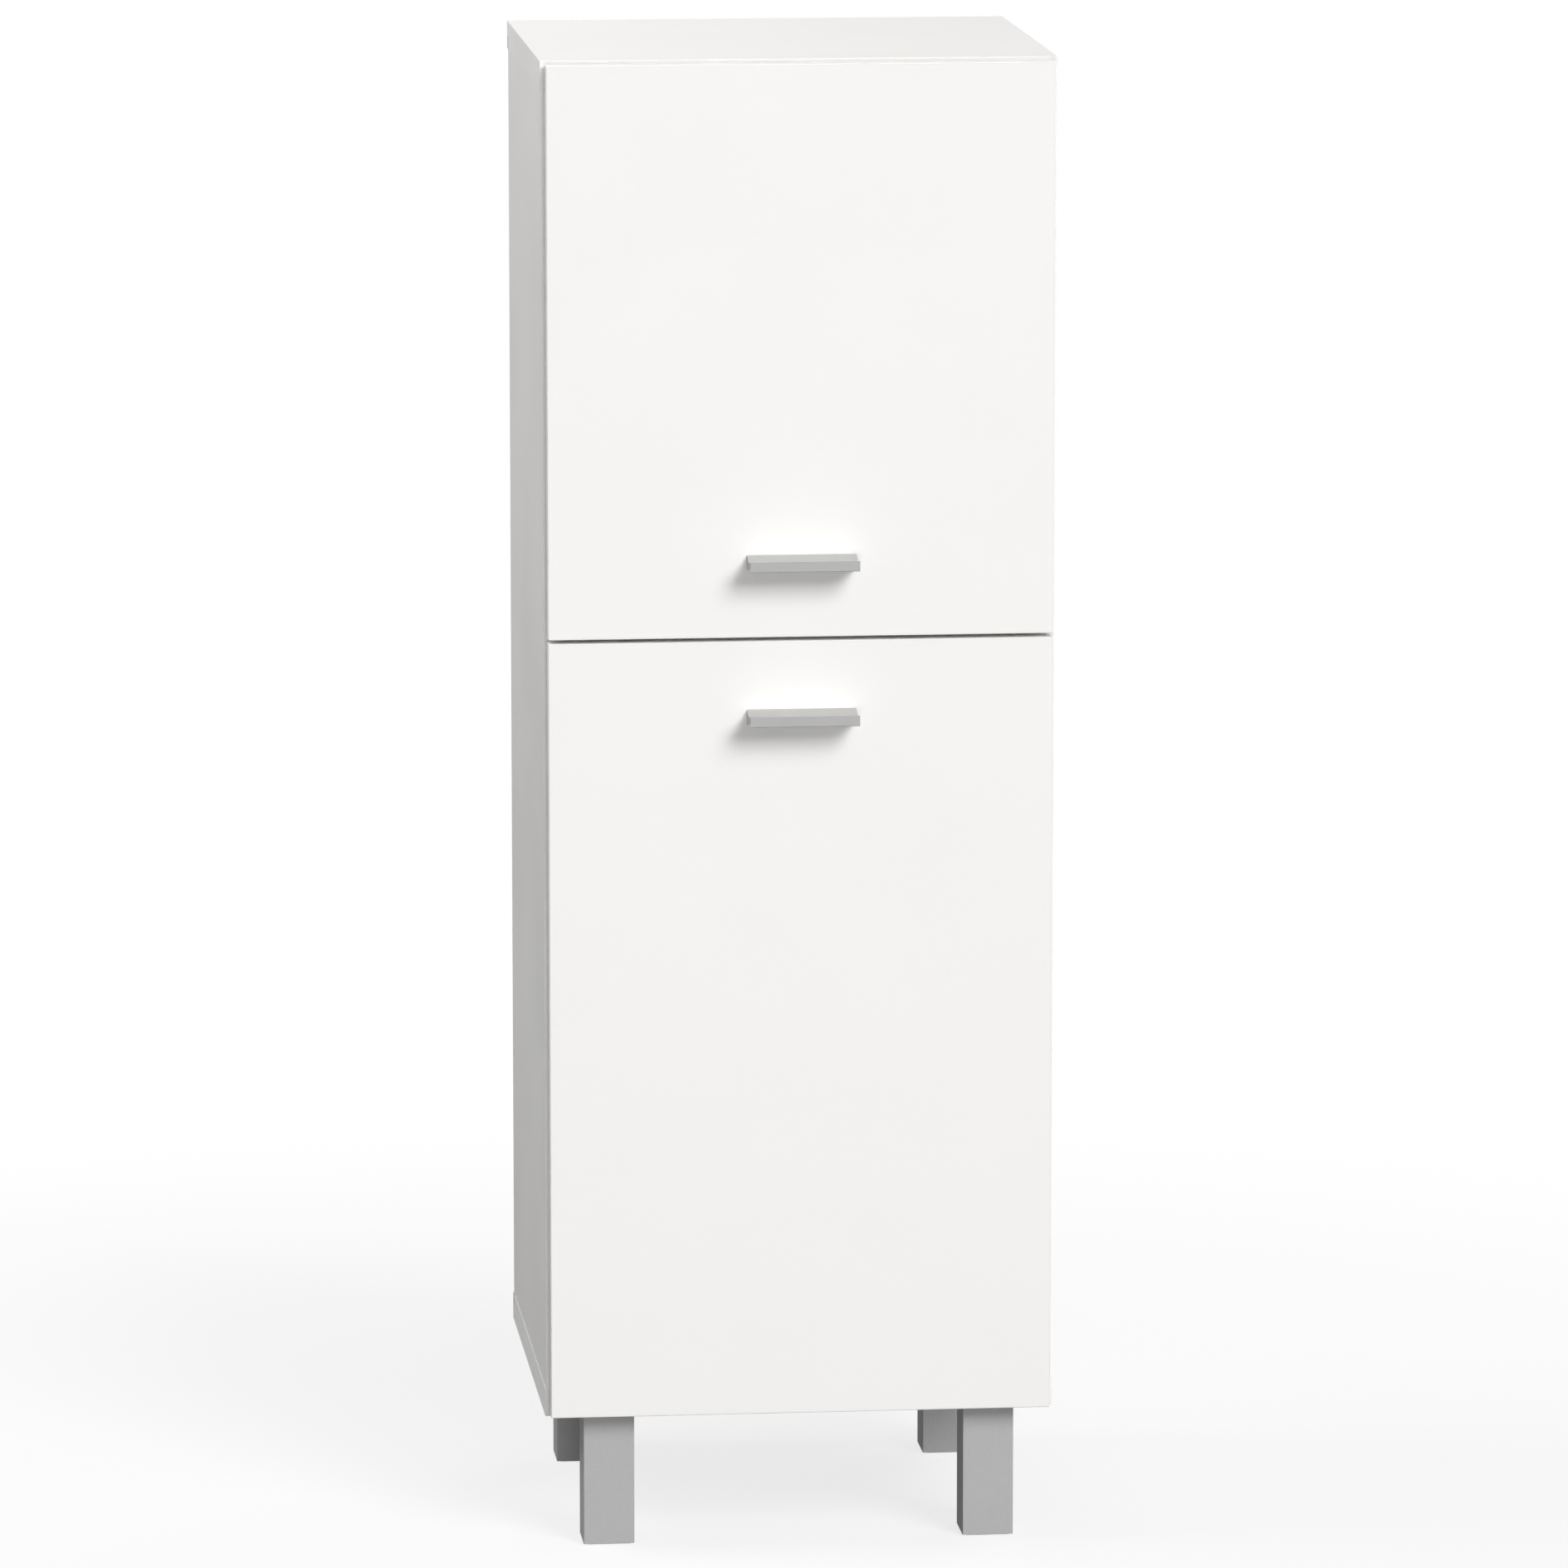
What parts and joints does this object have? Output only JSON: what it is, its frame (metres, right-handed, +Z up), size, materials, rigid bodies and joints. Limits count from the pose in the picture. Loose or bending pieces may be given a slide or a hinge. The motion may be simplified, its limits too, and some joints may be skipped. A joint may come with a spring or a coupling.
{
  "type": "bathroom cabinet",
  "caption": "Tall white bathroom cabinet on square legs, with an upper and a lower hinged door, bar handles and shelves inside.",
  "frame": {"origin": "on the floor, in the middle of the overall box", "axes": "+Z up, the doors face -Y, +X to the right as seen from the front"},
  "size_m": [0.4, 0.3989, 1.17],
  "materials": {
    "white_board": "satin white melamine on chipboard",
    "white_door": "satin white foil on board",
    "white_hardboard": "painted hardboard",
    "silver_paint": "satin silver grey powder coat",
    "satin_aluminium": "matt anodised",
    "nickel_plated_steel": "satin nickel plate",
    "zinc_plated_steel": "zinc plate",
    "beech": "plain",
    "grey_plastic": "moulded",
    "clear_buffer": "soft, clear"
  },
  "bodies": {
    "carcass": {"top_panel": "white_board", "bottom_panel": "white_board", "left_side_panel": "white_board", "right_side_panel": "white_board", "back_panel": "white_hardboard", "fixed_shelf": "white_board", "upper_shelf": "white_board", "lower_shelf": "white_board", "upper_shelf_pins": "zinc_plated_steel", "lower_shelf_pins": "zinc_plated_steel", "dowels": "beech", "cam_bolts": "zinc_plated_steel", "cam_locks": "zinc_plated_steel", "back_panel_nails": "zinc_plated_steel", "wall_brackets": "zinc_plated_steel", "wall_bracket_screws": "zinc_plated_steel", "front_left_leg": "silver_paint", "front_right_leg": "silver_paint", "back_left_leg": "silver_paint", "back_right_leg": "silver_paint", "leg_glides": "grey_plastic", "leg_sockets": "grey_plastic", "leg_socket_screws": "zinc_plated_steel", "upper_hinge_arms": "nickel_plated_steel", "upper_hinge_plates": "nickel_plated_steel", "upper_plate_screws": "zinc_plated_steel", "upper_clamp_screws": "zinc_plated_steel", "lower_hinge_arms": "nickel_plated_steel", "lower_hinge_plates": "nickel_plated_steel", "lower_plate_screws": "zinc_plated_steel", "lower_clamp_screws": "zinc_plated_steel"},
    "upper_door": {"upper_door": "white_door", "upper_handle": "satin_aluminium", "upper_handle_screws": "zinc_plated_steel", "upper_door_buffers": "clear_buffer", "upper_hinge_cups": "nickel_plated_steel", "upper_cup_screws": "zinc_plated_steel", "upper_hinge_pins": "zinc_plated_steel"},
    "lower_door": {"lower_door": "white_door", "lower_handle": "satin_aluminium", "lower_handle_screws": "zinc_plated_steel", "lower_door_buffers": "clear_buffer", "lower_hinge_cups": "nickel_plated_steel", "lower_cup_screws": "zinc_plated_steel", "lower_hinge_pins": "zinc_plated_steel"}
  },
  "joints": [
    {"name": "upper_door_hinge", "type": "hinge", "parent": "carcass", "child": "upper_door", "pos_m": [0.19, -0.16105, 0.9455], "axis": [0, 0, 1], "range_deg": [0, 95]},
    {"name": "lower_door_hinge", "type": "hinge", "parent": "carcass", "child": "lower_door", "pos_m": [0.19, -0.16105, 0.414], "axis": [0, 0, 1], "range_deg": [0, 95]}
  ]
}
